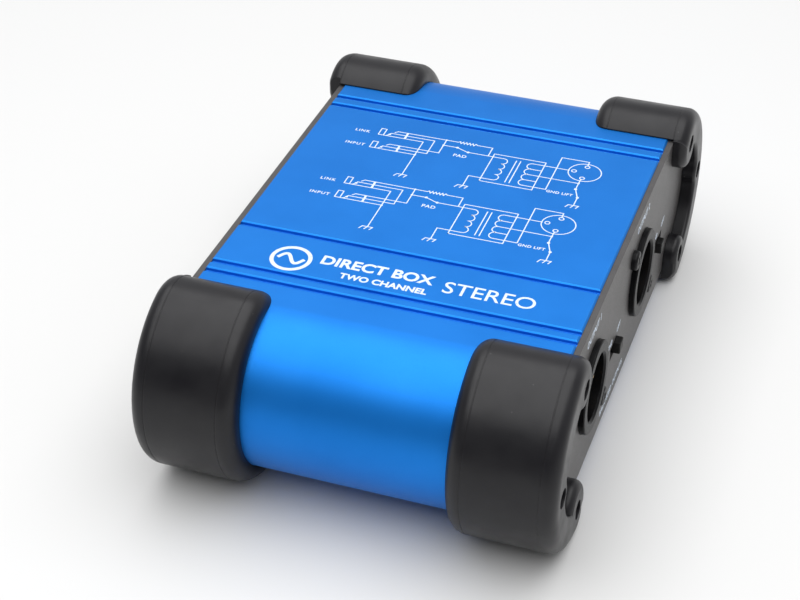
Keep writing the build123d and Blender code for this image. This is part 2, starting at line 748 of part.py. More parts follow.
def make_bobbin(y):
    """Moulded bobbin: a tube on the middle leg, two flanges and a foot on each side."""
    depth = CORE_SIZE[0]
    low = CORE_BASE_Z + CORE_YOKE + 0.05
    high = low + CORE_WINDOW - 0.1
    half_y = CORE_LEG / 2 + 3.9
    reach = 16.4
    with BuildPart() as bobbin:
        for z in (low, high - 1.0):
            with BuildSketch(level(z)):
                with Locations((TRANSFORMER_X, y)):
                    Rectangle(reach, 2 * half_y)
            extrude(amount=1.0)
        with BuildSketch(level(low)):
            with Locations((TRANSFORMER_X, y)):
                Rectangle(depth + 1.3, CORE_LEG + 1.3)
        extrude(amount=high - low)
        with BuildSketch(level(BOARD_TOP)):
            with Locations((TRANSFORMER_X, y)):
                Rectangle(reach, 20.0)
        extrude(amount=low - BOARD_TOP)
        with BuildSketch(level(CORE_BASE_Z - 0.05)):
            with Locations((TRANSFORMER_X, y)):
                Rectangle(depth + 0.1, 26.0)
        extrude(amount=low - CORE_BASE_Z + 0.05, mode=Mode.SUBTRACT)
        with BuildSketch(level(low - 0.1)):
            with Locations((TRANSFORMER_X, y)):
                Rectangle(depth + 0.1, CORE_LEG + 0.1)
        extrude(amount=high, mode=Mode.SUBTRACT)
        with BuildSketch(level(LEAD_END_Z)):
            with Locations(*transformer_pin_places(y)):
                Circle(LEAD_RADIUS)
        extrude(amount=BOARD_TOP + 1.5 - LEAD_END_Z, mode=Mode.SUBTRACT)
    return bobbin.part


def make_winding(y):
    """The taped coil between the bobbin's flanges."""
    low = CORE_BASE_Z + CORE_YOKE + 1.1
    height = CORE_WINDOW - 2.2
    with BuildPart() as winding:
        with BuildSketch(level(low)):
            with Locations((TRANSFORMER_X, y)):
                RectangleRounded(15.4, 15.4, 1.8)
                Rectangle(CORE_SIZE[0] + 1.4, CORE_LEG + 1.4, mode=Mode.SUBTRACT)
        extrude(amount=height)
    return winding.part


def make_transformer_bracket(y):
    """Steel strap over the core, with a foot on the board at each side."""
    depth, width, height = CORE_SIZE
    sheet = 0.5
    side = width / 2 + 0.05
    top = CORE_BASE_Z + height + 0.05
    with BuildPart() as bracket:
        with BuildSketch(Plane.YZ.offset(TRANSFORMER_X - depth / 2 + 0.5)):
            with BuildLine():
                Polyline(
                    (y - side - 4.0, BOARD_TOP + sheet / 2),
                    (y - side - sheet / 2, BOARD_TOP + sheet / 2),
                    (y - side - sheet / 2, top + sheet / 2),
                    (y + side + sheet / 2, top + sheet / 2),
                    (y + side + sheet / 2, BOARD_TOP + sheet / 2),
                    (y + side + 4.0, BOARD_TOP + sheet / 2),
                )
            trace(line_width=sheet)
        extrude(amount=depth - 1.0)
    return bracket.part


def make_transformer_pins():
    places = [p for c in CHANNELS for p in transformer_pin_places(TRANSFORMER_Y + channel_shift(c))]
    with BuildPart() as pins:
        with BuildSketch(level(LEAD_END_Z)):
            with Locations(*places):
                Circle(LEAD_RADIUS)
        extrude(amount=BOARD_TOP + 1.5 - LEAD_END_Z)
    return pins.part


def resistor_places():
    return [(x, y + channel_shift(c)) for c in CHANNELS for x in RESISTOR_X for y in RESISTOR_Y]


def make_resistors():
    """Axial resistors of the input pads, each with its bent leads as one solid."""
    height = BOARD_TOP + RESISTOR_RADIUS + 0.3
    half = RESISTOR_PITCH / 2
    with BuildPart() as resistors:
        for x, y in resistor_places():
            with BuildLine() as lead:
                FilletPolyline(
                    (x, y - half, LEAD_END_Z),
                    (x, y - half, height),
                    (x, y + half, height),
                    (x, y + half, LEAD_END_Z),
                    radius=0.9,
                )
            with BuildSketch(Plane(origin=lead.line @ 0, z_dir=lead.line % 0)):
                Circle(RESISTOR_LEAD_RADIUS)
            sweep(path=lead.line)
            with BuildSketch(Plane.XZ.offset(-(y + RESISTOR_LENGTH / 2))):
                with Locations((x, height)):
                    Circle(RESISTOR_RADIUS)
            extrude(amount=RESISTOR_LENGTH)
    return resistors.part


def capacitor_places():
    return [(CAPACITOR_X, LIFT_Y + channel_shift(c)) for c in CHANNELS]


def make_capacitors():
    depth, width, height = CAPACITOR_SIZE
    with BuildPart() as capacitors:
        with BuildSketch(level(BOARD_TOP)):
            with Locations(*capacitor_places()):
                RectangleRounded(depth, width, 0.4)
        extrude(amount=height)
        with BuildSketch(level(LEAD_END_Z)):
            for x, y in capacitor_places():
                with Locations((x, y - CAPACITOR_PITCH / 2), (x, y + CAPACITOR_PITCH / 2)):
                    Circle(LEAD_RADIUS)
        extrude(amount=BOARD_TOP - LEAD_END_Z)
    return capacitors.part


def board_hole_places():
    """Every place where a lead goes through the board."""
    places = [(foot_x, y) for _, y, _, foot_x in switch_terminal_places()]
    for channel in CHANNELS:
        places += transformer_pin_places(TRANSFORMER_Y + channel_shift(channel))
    for x, y in resistor_places():
        places += [(x, y - RESISTOR_PITCH / 2), (x, y + RESISTOR_PITCH / 2)]
    for x, y in capacitor_places():
        places += [(x, y - CAPACITOR_PITCH / 2), (x, y + CAPACITOR_PITCH / 2)]
    return places


def make_board():
    """The board slides in the sleeve's guides and carries everything but the connectors."""
    with BuildPart() as board:
        with BuildSketch(level(BOARD_BOTTOM)):
            Rectangle(2 * BOARD_HALF_LENGTH, 2 * BOARD_HALF_WIDTH)
            with Locations(*board_hole_places()):
                Circle(LEAD_HOLE_RADIUS, mode=Mode.SUBTRACT)
            for y, _ in jack_places():
                with Locations((-PANEL_INNER_X + JACK_DEPTH + 0.6, y), (-PANEL_INNER_X + 4.2, y)):
                    Rectangle(1.2, 2.2, mode=Mode.SUBTRACT)
        extrude(amount=BOARD_THICKNESS)
    return board.part


# ---------------------------------------------------------------- write every piece

os.makedirs("parts", exist_ok=True)

save(make_sleeve(), "housing_sleeve")
save(make_output_panel(), "output_panel")
save(make_input_panel(), "input_panel")
save(make_end_screws(1), "output_end_screws")
save(make_end_screws(-1), "input_end_screws")
for side_x, end in ((1, "output"), (-1, "input")):
    for side_y, flank in ((-1, "front"), (1, "rear")):
        save(make_bumper(side_x, side_y), f"bumper_{flank}_{end}")

for channel in CHANNELS:
    shift = channel_shift(channel)
    save(make_xlr_shell(XLR_Y + shift), f"xlr_shell_{channel}")
    save(make_xlr_insert(XLR_Y + shift), f"xlr_insert_{channel}")
    save(make_xlr_pins(XLR_Y + shift), f"xlr_pins_{channel}")
    save(make_xlr_wires(XLR_Y + shift), f"xlr_wires_{channel}")
    # the levers of the two ground-lift switches rest at the ends that face each other
    rest = SWITCH_TRAVEL / 2 * (1 if channel == 1 else -1)
    save(make_switch_frame(1, LIFT_Y + shift), f"lift_switch_frame_{channel}")
    save(make_switch_base(1, LIFT_Y + shift), f"lift_switch_base_{channel}")
    save(make_switch_slider(1, LIFT_Y + shift + rest), f"lift_switch_slider_{channel}")
    rest = -SWITCH_TRAVEL / 2
    save(make_switch_frame(-1, PAD_Y + shift), f"pad_switch_frame_{channel}")
    save(make_switch_base(-1, PAD_Y + shift), f"pad_switch_base_{channel}")
    save(make_switch_slider(-1, PAD_Y + shift + rest), f"pad_switch_slider_{channel}")
    for role, first_y in (("link", LINK_Y), ("input", INPUT_Y)):
        save(make_jack_body(first_y + shift), f"{role}_jack_body_{channel}")
        save(make_jack_bushing(first_y + shift), f"{role}_jack_bushing_{channel}")
        save(make_jack_contacts(first_y + shift), f"{role}_jack_contacts_{channel}")
    save(make_transformer_core(TRANSFORMER_Y + shift), f"transformer_core_{channel}")
    save(make_bobbin(TRANSFORMER_Y + shift), f"transformer_bobbin_{channel}")
    save(make_winding(TRANSFORMER_Y + shift), f"transformer_winding_{channel}")
    save(make_transformer_bracket(TRANSFORMER_Y + shift), f"transformer_bracket_{channel}")

save(make_xlr_screws(), "xlr_screws")
save(make_xlr_nuts(), "xlr_nuts")
save(make_switch_terminals(), "switch_terminals")
save(make_jack_washers(), "jack_washers")
save(make_jack_nuts(), "jack_nuts")
save(make_transformer_pins(), "transformer_pins")
save(make_resistors(), "resistors")
save(make_capacitors(), "capacitors")
save(make_board(), "circuit_board")
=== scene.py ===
"""Looks of the two-channel direct injection box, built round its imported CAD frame. Metres throughout."""

from math import cos, pi, radians, sin

import bmesh
import bpy
from mathutils import Matrix, Vector


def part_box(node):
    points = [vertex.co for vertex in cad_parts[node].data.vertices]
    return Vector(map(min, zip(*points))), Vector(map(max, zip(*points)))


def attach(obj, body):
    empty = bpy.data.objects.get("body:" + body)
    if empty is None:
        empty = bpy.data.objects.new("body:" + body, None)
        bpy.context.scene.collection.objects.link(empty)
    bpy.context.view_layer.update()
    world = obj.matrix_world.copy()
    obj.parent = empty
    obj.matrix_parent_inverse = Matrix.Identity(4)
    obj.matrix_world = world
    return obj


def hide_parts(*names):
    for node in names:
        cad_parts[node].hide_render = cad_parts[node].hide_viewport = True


MM = 0.001
ROOT = "box_body"

# camera, measured from the middle of the box's top
CAMERA_AZIMUTH = radians(19.1)
CAMERA_ELEVATION = radians(35.48)
CAMERA_DISTANCE = 0.4178
CAMERA_LENS = 82.3
CAMERA_TARGET = (2.55 * MM, -41.6 * MM)

# light: a tent that is bright behind and dimmer on the camera's side, and one softbox overhead
BACKDROP_SIDE = (0.2, 0.98, 0.0)
BACKDROP_FADE = (-0.95, 0.15)
ROOM_LIGHT = 0.2
BACKDROP_LIGHT = 0.66
TENT_COLOUR = (0.98, 0.985, 1.0, 1.0)
OVERHEAD_PLACE = (0, -0.15, 0.8)
OVERHEAD_AIM = (0, -0.15, 0)
OVERHEAD_SIZE = (1.1, 1.4)
OVERHEAD_POWER = 10.2
FLOOR_REACH = 4.0

# white ink; each stroke stands a hair above the one before
INK_HEIGHT = 0.03 * MM
INK_SINK = 0.02 * MM
INK_STEP = 0.00004 * MM
INK_WELD = 0.0004 * MM
LINE_WIDTH = 0.27 * MM
TEETH_WIDTH = 0.26 * MM
CAP_HEIGHT = 0.73

# jack bushings: thread, bore and the flange behind the panel
THREAD_MAJOR = 4.7 * MM
THREAD_MINOR = 4.35 * MM
THREAD_PITCH = 0.8 * MM
THREAD_LEAD_IN = 0.5 * MM
JACK_BORE = 3.25 * MM
JACK_BORE_MOUTH = 0.25 * MM
JACK_BORE_DEPTH = 1.0 * MM
JACK_FLANGE = 1.2 * MM

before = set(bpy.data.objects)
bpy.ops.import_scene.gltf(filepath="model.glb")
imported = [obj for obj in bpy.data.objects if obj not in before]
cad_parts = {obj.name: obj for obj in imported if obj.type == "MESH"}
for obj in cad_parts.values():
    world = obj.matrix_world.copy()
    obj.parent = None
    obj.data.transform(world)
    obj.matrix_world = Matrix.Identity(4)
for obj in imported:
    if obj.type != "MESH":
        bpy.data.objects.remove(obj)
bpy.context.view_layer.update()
sleeve_low, sleeve_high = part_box("housing_sleeve")
TOP = sleeve_high.z
AXIS_Z = (sleeve_low.z + sleeve_high.z) / 2
OUTPUT_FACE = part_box("output_panel")[1].x
INPUT_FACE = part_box("input_panel")[0].x


def middle(node):
    low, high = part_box(node)
    return (low + high) / 2


# ---------------------------------------------------------------- materials


class Look:
    """A Principled material with the few node chains that its detail is made from."""

    def __init__(self, name, colour, roughness, metallic=0.0, **sockets):
        self.material = bpy.data.materials.new(name)
        self.material.use_nodes = True
        self.nodes = self.material.node_tree.nodes
        self.links = self.material.node_tree.links
        self.shader = self.nodes["Principled BSDF"]
        self.place = self.nodes.new("ShaderNodeTexCoord").outputs["Object"]
        self.normal = None
        self.set("Base Color", (*colour, 1.0))
        self.set("Roughness", roughness)
        self.set("Metallic", metallic)
        for socket, value in sockets.items():
            self.set(socket.replace("_", " "), value)

    def set(self, socket, value):
        self.shader.inputs[socket].default_value = value

    def noise(self, size, detail=2.0, shift=0.0):
        """Noise with features of about this size, a length or one length per axis."""
        sizes = size if isinstance(size, tuple) else (size, size, size)
        mapping = self.nodes.new("ShaderNodeMapping")
        mapping.inputs["Scale"].default_value = [1 / s for s in sizes]
        mapping.inputs["Location"].default_value = (shift, shift, shift)
        self.links.new(self.place, mapping.inputs["Vector"])
        noise = self.nodes.new("ShaderNodeTexNoise")
        noise.inputs["Scale"].default_value = 1.0
        noise.inputs["Detail"].default_value = detail
        self.links.new(mapping.outputs["Vector"], noise.inputs["Vector"])
        return noise.outputs["Fac"]

    def specks(self, size, radius, shift=0.0):
        """1 at the middle of sparse round specks, 0 elsewhere."""
        mapping = self.nodes.new("ShaderNodeMapping")
        mapping.inputs["Scale"].default_value = [1 / size] * 3
        mapping.inputs["Location"].default_value = (shift, shift, shift)
        self.links.new(self.place, mapping.inputs["Vector"])
        cells = self.nodes.new("ShaderNodeTexVoronoi")
        cells.inputs["Scale"].default_value = 1.0
        self.links.new(mapping.outputs["Vector"], cells.inputs["Vector"])
        return self.span(cells.outputs["Distance"], radius / size, 0.5 * radius / size, 0.0, 1.0)

    def span(self, socket, from_low, from_high, to_low, to_high):
        """The socket's value mapped from one range to another, clamped."""
        node = self.nodes.new("ShaderNodeMapRange")
        node.inputs["From Min"].default_value = from_low
        node.inputs["From Max"].default_value = from_high
        node.inputs["To Min"].default_value = to_low
        node.inputs["To Max"].default_value = to_high
        self.links.new(socket, node.inputs["Value"])
        return node.outputs["Result"]

    def times(self, a, b):
        """The product of two values."""
        node = self.nodes.new("ShaderNodeMath")
        node.operation = "MULTIPLY"
        self.links.new(a, node.inputs[0])
        self.links.new(b, node.inputs[1])
        return node.outputs["Value"]

    def edges(self, radius, sharpness=0.06):
        """1 along edges whose faces bend away within this radius, 0 on open faces."""
        bevel = self.nodes.new("ShaderNodeBevel")
        bevel.samples = 6
        bevel.inputs["Radius"].default_value = radius
        flat = self.nodes.new("ShaderNodeNewGeometry").outputs["Normal"]
        dot = self.nodes.new("ShaderNodeVectorMath")
        dot.operation = "DOT_PRODUCT"
        self.links.new(bevel.outputs["Normal"], dot.inputs[0])
        self.links.new(flat, dot.inputs[1])
        return self.span(dot.outputs["Value"], 1.0 - 0.2 * sharpness, 1.0 - 2.0 * sharpness, 0.0, 1.0)

    def tint(self, mask, colour):
        """Mixes this colour in where the mask is 1."""
        mix = self.nodes.new("ShaderNodeMix")
        mix.data_type = "RGBA"
        target = self.shader.inputs["Base Color"]
        if target.is_linked:
            self.links.new(target.links[0].from_socket, mix.inputs["A"])
        else:
            mix.inputs["A"].default_value = target.default_value
        mix.inputs["B"].default_value = (*colour, 1.0)
        self.links.new(mask, mix.inputs["Factor"])
        self.links.new(mix.outputs["Result"], target)

    def rough(self, mask, low, high):
        """Varies the roughness between two values with a noise."""
        self.links.new(self.span(mask, 0.3, 0.7, low, high), self.shader.inputs["Roughness"])

    def soften(self, radius):
        """Rounds the shading of edges by this radius."""
        bevel = self.nodes.new("ShaderNodeBevel")
        bevel.samples = 6
        bevel.inputs["Radius"].default_value = radius
        self.normal = bevel.outputs["Normal"]
        self.links.new(self.normal, self.shader.inputs["Normal"])

    def bump(self, height, distance):
        """Raises the surface by this distance where the height is 1, over the bumps before it."""
        bump = self.nodes.new("ShaderNodeBump")
        bump.inputs["Distance"].default_value = distance
        bump.inputs["Strength"].default_value = 1.0
        self.links.new(height, bump.inputs["Height"])
        if self.normal is not None:
            self.links.new(self.normal, bump.inputs["Normal"])
        self.normal = bump.outputs["Normal"]
        self.links.new(self.normal, self.shader.inputs["Normal"])


def anodised_blue():
    """Fine bead-blasted grain under a clear blue dye, with faint lines along the extrusion."""
    blue = (0.004, 0.19, 0.66)
    look = Look("anodised_blue", blue, 0.46, metallic=0.8, Coat_Weight=0.04, Coat_Roughness=0.35)
    look.tint(look.span(look.noise(14 * MM), 0.3, 0.7, 0.0, 1.0), (0.007, 0.21, 0.71))
    grain = look.noise(0.28 * MM, detail=3.0)
    look.rough(grain, 0.4, 0.52)
    # painted highlight: every edge is tinted a lighter blue, as if it were catching the light
    look.tint(look.edges(0.18 * MM), (0.05, 0.36, 0.90))
    look.soften(0.12 * MM)
    look.bump(look.noise((18 * MM, 0.3 * MM, 0.3 * MM), shift=4.0), 0.0016 * MM)
    look.bump(grain, 0.006 * MM)
    return look.material


def black_rubber():
    """Soft moulded rubber with a fine skin, handling marks and a little dust."""
    look = Look("black_rubber", (0.0040, 0.0036, 0.0056), 0.38, Specular_IOR_Level=0.38)
    look.tint(look.span(look.noise(9 * MM, detail=4.0), 0.35, 0.75, 0.0, 1.0), (0.0075, 0.0072, 0.0090))
    specks = look.specks(3.1 * MM, 0.1 * MM)
    patches = look.span(look.noise(7 * MM, shift=3.0), 0.5, 0.56, 0.0, 1.0)
    look.tint(look.times(specks, patches), (0.35, 0.35, 0.36))
    skin = look.noise(0.35 * MM, detail=4.0)
    look.rough(look.noise(6 * MM, detail=5.0, shift=7.0), 0.31, 0.43)
    look.soften(0.3 * MM)
    look.bump(skin, 0.008 * MM)
    return look.material


def painted(name, colour, roughness, grain_size, grain_height, edge_colour, shine=0.5):
    """A coat over metal, thinner and lighter along its edges."""
    edge_radius = 0.12 * MM
    look = Look(name, colour, roughness, Specular_IOR_Level=shine)
    lighter = tuple(1.25 * c for c in colour)
    look.tint(look.span(look.noise(5 * MM, detail=4.0), 0.35, 0.7, 0.0, 1.0), lighter)
    patches = look.span(look.noise(1.3 * MM, detail=3.0), 0.42, 0.6, 0.0, 1.0)
    look.tint(look.times(look.edges(edge_radius), patches), edge_colour)
    grain = look.noise(grain_size, detail=3.0)
    look.rough(grain, roughness - 0.06, roughness + 0.08)
    look.soften(edge_radius)
    look.bump(grain, grain_height)
    return look.material


def plastic(name, colour, roughness, shine=0.5):
    """Moulded plastic with a fine spark-eroded grain."""
    look = Look(name, colour, roughness, Specular_IOR_Level=shine)
    lighter = tuple(min(1.0, 1.25 * c + 0.004) for c in colour)
    look.tint(look.span(look.noise(4 * MM, detail=4.0), 0.35, 0.7, 0.0, 1.0), lighter)
    grain = look.noise(0.3 * MM, detail=3.0)
    look.rough(look.noise(3 * MM, detail=4.0, shift=5.0), roughness - 0.06, roughness + 0.08)
    look.soften(0.12 * MM)
    look.bump(grain, 0.004 * MM)
    return look.material


def bare_metal(name, colour, roughness, brush, edge_colour):
    """Plated metal with fine brushing along the short side of `brush`."""
    look = Look(name, colour, roughness, metallic=1.0)
    darker = tuple(0.8 * c for c in colour)
    look.tint(look.span(look.noise(3 * MM, detail=5.0), 0.4, 0.7, 0.0, 1.0), darker)
    look.tint(look.edges(0.1 * MM), edge_colour)
    lines = look.noise(brush, detail=3.0)
    look.rough(lines, roughness - 0.07, roughness + 0.1)
    look.soften(0.08 * MM)
    look.bump(lines, 0.003 * MM)
    return look.material


def laminate_board(name, colour, trace_colour):
    """Solder mask over copper, with the copper's pattern showing through as paler bands."""
    look = Look(name, colour, 0.3)
    bands = look.times(
        look.span(look.noise((6 * MM, 0.9 * MM, 6 * MM), detail=0.0), 0.5, 0.52, 0.0, 1.0),
        look.span(look.noise((0.9 * MM, 6 * MM, 6 * MM), detail=0.0, shift=2.0), 0.38, 0.4, 0.0, 1.0),
    )
    look.tint(bands, trace_colour)
    look.rough(look.noise(1 * MM), 0.25, 0.4)
    look.bump(bands, 0.02 * MM)
    return look.material


def layered(name, colour, line_colour, pitch, axis):
    """Thin layers stacked along one axis, such as laminations or turns of tape."""
    look = Look(name, colour, 0.45)
    sizes = tuple(pitch if i == axis else 60 * pitch for i in range(3))
    lines = look.noise(sizes, detail=1.0)
    look.tint(look.span(lines, 0.45, 0.55, 0.0, 1.0), line_colour)
    look.rough(lines, 0.35, 0.55)
    look.bump(lines, 0.03 * MM)
    return look.material


def white_ink():
    """Screen-printed ink, slightly uneven, with the blue coming through where it is thin."""
    look = Look("white_ink", (0.68, 0.76, 0.86), 0.5)
    look.tint(look.span(look.noise(0.5 * MM, detail=4.0), 0.55, 0.72, 0.0, 0.7), (0.35, 0.52, 0.84))
    look.rough(look.noise(0.4 * MM, shift=2.0), 0.4, 0.6)
    look.bump(look.noise(0.15 * MM, detail=2.0), 0.004 * MM)
    return look.material


def pale_floor():
    """Matt white card with a slightly uneven surface."""
    look = Look("pale_floor", (0.72, 0.72, 0.715), 0.75, Specular_IOR_Level=0.2)
    look.rough(look.noise(0.2, detail=3.0), 0.7, 0.85)
    return look.material


BRUSH_ROUND = (0.25 * MM, 3 * MM, 3 * MM)
LOOKS = {
    "anodised_blue": anodised_blue(),
    "black_rubber": black_rubber(),
    "panel_black": painted(
        "panel_black", (0.056, 0.053, 0.053), 0.42, 0.2 * MM, 0.006 * MM, (0.12, 0.12, 0.12),
    ),
    "black_zinc": painted(
        "black_zinc", (0.004, 0.004, 0.005), 0.36, 0.3 * MM, 0.004 * MM, (0.07, 0.07, 0.07), shine=0.2,
    ),
    "connector_shell": painted(
        "connector_shell", (0.003, 0.003, 0.0035), 0.34, 0.35 * MM, 0.008 * MM, (0.10, 0.10, 0.105),
        shine=0.12,
    ),
    "connector_insert": plastic("connector_insert", (0.004, 0.004, 0.0045), 0.5, shine=0.2),
    "contact_gold": bare_metal("contact_gold", (0.92, 0.62, 0.24), 0.22, BRUSH_ROUND, (1.0, 0.8, 0.45)),
    "plated_steel": bare_metal("plated_steel", (0.62, 0.61, 0.58), 0.32, BRUSH_ROUND, (0.8, 0.8, 0.78)),
    "nickel": bare_metal("nickel", (0.70, 0.67, 0.61), 0.2, BRUSH_ROUND, (0.86, 0.84, 0.8)),
    "switch_black": plastic("switch_black", (0.003, 0.003, 0.003), 0.42, shine=0.2),
    "laminate": layered("laminate", (0.30, 0.17, 0.07), (0.22, 0.11, 0.04), 0.15 * MM, 0),
    "jack_plastic": plastic("jack_plastic", (0.02, 0.02, 0.02), 0.45),
    "board_green": laminate_board("board_green", (0.01, 0.10, 0.035), (0.03, 0.2, 0.07)),
    "core_steel": layered("core_steel", (0.22, 0.22, 0.23), (0.10, 0.10, 0.11), 0.4 * MM, 0),
    "bobbin_plastic": plastic("bobbin_plastic", (0.62, 0.58, 0.47), 0.5),
    "winding_tape": layered("winding_tape", (0.66, 0.42, 0.03), (0.5, 0.3, 0.02), 0.5 * MM, 2),
    "resistor_body": plastic("resistor_body", (0.22, 0.42, 0.56), 0.35),
    "capacitor_body": plastic("capacitor_body", (0.5, 0.06, 0.03), 0.3),
    "wire_insulation": plastic("wire_insulation", (0.55, 0.55, 0.52), 0.5),
}
INK = white_ink()

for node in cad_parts.values():
    for material_slot in node.material_slots:
        material_slot.material = LOOKS[material_slot.material.name.split(".")[0]]


# ---------------------------------------------------------------- pieces


def new_piece(name, mesh_bm, material):
    """Turns a bmesh in the frame's own axes into a piece that rides on the box."""
    bmesh.ops.recalc_face_normals(mesh_bm, faces=mesh_bm.faces)
    mesh = bpy.data.meshes.new(name)
    mesh_bm.to_mesh(mesh)
    mesh_bm.free()
    mesh.materials.append(material)
    piece = bpy.data.objects.new(name, mesh)
    bpy.context.scene.collection.objects.link(piece)
    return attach(piece, ROOT)


class Print:
    """Ink on a flat face: strokes, rings, dots and words, each a thin closed solid."""

    def __init__(self, name, origin, right, up):
        self.name = name
        self.bm = bmesh.new()
        right, up = Vector(right), Vector(up)
        out = right.cross(up)
        self.matrix = Matrix.Translation(origin) @ Matrix((right, up, out)).transposed().to_4x4()
        self.layer = 0

    def height(self):
        """Each stroke is a hair higher than the one before, so that crossing strokes never coincide."""
        self.layer += 1
        return INK_HEIGHT + INK_STEP * self.layer

    def corners(self, outline, z):
        """One vertex per point of the outline, at height z over the face."""
        return [self.bm.verts.new(self.matrix @ Vector((x, y, z))) for x, y in outline]

    def walls(self, low, high, closed=True):
        """Quads between two rows of vertices, joined up at the end when closed."""
        for i in range(len(low) - (0 if closed else 1)):
            j = (i + 1) % len(low)
            self.bm.faces.new((low[i], low[j], high[j], high[i]))

    def disc(self, outline):
        """A flat solid with this outline."""
        low, high = self.corners(outline, -INK_SINK), self.corners(outline, self.height())
        self.walls(low, high)
        self.bm.faces.new(high)
        self.bm.faces.new(low[::-1])

    def strip(self, one_side, other_side, closed=False):
        """A band between two lines of the same number of points."""
        top = self.height()
        a_low, b_low = self.corners(one_side, -INK_SINK), self.corners(other_side, -INK_SINK)
        a_high, b_high = self.corners(one_side, top), self.corners(other_side, top)
        for one, other in ((a_low, a_high), (a_high, b_high), (b_high, b_low), (b_low, a_low)):
            self.walls(one, other, closed)
        if not closed:
            for i in (0, -1):
                self.bm.faces.new((a_low[i], a_high[i], b_high[i], b_low[i]))

    def stroke(self, *points, width=LINE_WIDTH):
        """A line of even width through the points, given in millimetres, with mitred corners."""
        path = [Vector(p) * MM for p in points]
        left, right = [], []
        for i, point in enumerate(path):
            before = (point - path[i - 1]).normalized() if i else None
            after = (path[i + 1] - point).normalized() if i < len(path) - 1 else None
            along = ((before or after) + (after or before)).normalized()
            side = Vector((-along.y, along.x))
            reach = width / 2 / max(0.4, along.dot(after or before))
            end = along * width / 2 * (-1 if before is None else 1 if after is None else 0)
            left.append(point + end + side * reach)
            right.append(point + end - side * reach)
        self.strip(left, right)

    def ring(self, x, y, radius, width=LINE_WIDTH, steps=48):
        """A circular line, its middle and radius given in millimetres."""
        turns = [2 * pi * i / steps for i in range(steps)]
        middle_mm = Vector((x, y)) * MM
        outlines = []
        for r in (radius * MM + width / 2, radius * MM - width / 2):
            outlines.append([middle_mm + r * Vector((cos(t), sin(t))) for t in turns])
        self.strip(*outlines, closed=True)

    def dot(self, x, y, radius=0.32, steps=20):
        turns = [2 * pi * i / steps for i in range(steps)]
        self.disc([(Vector((x, y)) + radius * Vector((cos(t), sin(t)))) * MM for t in turns])

    def word(self, text, x, y, cap, weight=0.0, spacing=1.0):
        """Plain words whose capitals stand `cap` millimetres high, centred on x and y."""
        curve = bpy.data.curves.new(self.name + "_word", "FONT")
        curve.body = text
        curve.align_x = "CENTER"
        curve.align_y = "CENTER"
        curve.size = cap * MM / CAP_HEIGHT
        curve.space_character = spacing
        curve.offset = weight * MM
        curve.resolution_u = 4
        top = self.height()
        curve.extrude = (top + INK_SINK) / 2
        letters = bpy.data.objects.new(curve.name, curve)
        bpy.context.scene.collection.objects.link(letters)
        bpy.context.view_layer.update()
        graph = bpy.context.evaluated_depsgraph_get()
        mesh = bpy.data.meshes.new_from_object(letters.evaluated_get(graph))
        mesh.transform(self.matrix @ Matrix.Translation((x * MM, y * MM, (top - INK_SINK) / 2)))
        self.bm.from_mesh(mesh)
        bpy.data.objects.remove(letters)
        bpy.data.curves.remove(curve)
        bpy.data.meshes.remove(mesh)

    def finish(self):
        """Welds the print and hands it over as one piece."""
        bmesh.ops.remove_doubles(self.bm, verts=self.bm.verts, dist=INK_WELD)
        return new_piece(self.name, self.bm, INK)


# ---------------------------------------------------------------- line art on the top

# places along the circuit, from left to right, in millimetres on the top
JACK_X = -27.3
TIP_X = -22.7
SLEEVE_X = -14.9
RING_X = -12.2
HOT_X = -9.4
RESISTOR_X = -6.2
PAD_LEFT_X = -5.6
PAD_RIGHT_X = -2.3
COLD_X = 1.2
SCREEN_X = (4.4, 18.1)
PRIMARY_X = 7.4
CORE_X = (10.7, 11.8)
SECONDARY_X = 15.1
LIFT_X = 28.4
CHASSIS_X = 29.8

RESISTOR_TEETH = 12
CONTACT_DOT = 0.4


def jack_symbol(ink, y):
    """A switched jack: its plug opening, two springs and the sleeve, with their insulator."""
    ink.stroke((JACK_X, y), (JACK_X, y + 3.1), (JACK_X + 1.4, y + 3.1), (JACK_X + 1.4, y))
    ink.stroke((-24.2, y + 1.5), (-24.7, y + 0.5), (-25.2, y + 0.0))
    ink.dot(-24.4, y + 0.9, 0.36)
    ink.stroke((-23.4, y + 2.2), (TIP_X, y + 2.9))
    for bar in (0.75, 2.2):
        ink.stroke((-20.0, y + bar - 0.45), (-20.0, y + bar + 0.45), width=0.55 * MM)


def ground_symbol(ink, x, y):
    """A chassis mark: a bar with three short slanting strokes under it."""
    ink.stroke((x - 1.3, y), (x + 1.3, y))
    for dx in (-1.3, 0.0, 1.3):
        ink.stroke((x + dx, y), (x + dx - 0.5, y - 1.1))


def coil(ink, x, top, bottom, side, turns=4):
    """A winding: half circles bulging to one side, from top to bottom."""
    radius = (top - bottom) / turns / 2
    points = []
    for turn in range(turns):
        centre = top - radius * (2 * turn + 1)
        steps = 8
        for i in range(steps + 1):
            angle = pi / 2 - pi * i / steps
            points.append((x + side * 0.9 * radius * cos(angle), centre + radius * sin(angle)))
    ink.stroke(*[p for i, p in enumerate(points) if i == 0 or p != points[i - 1]])


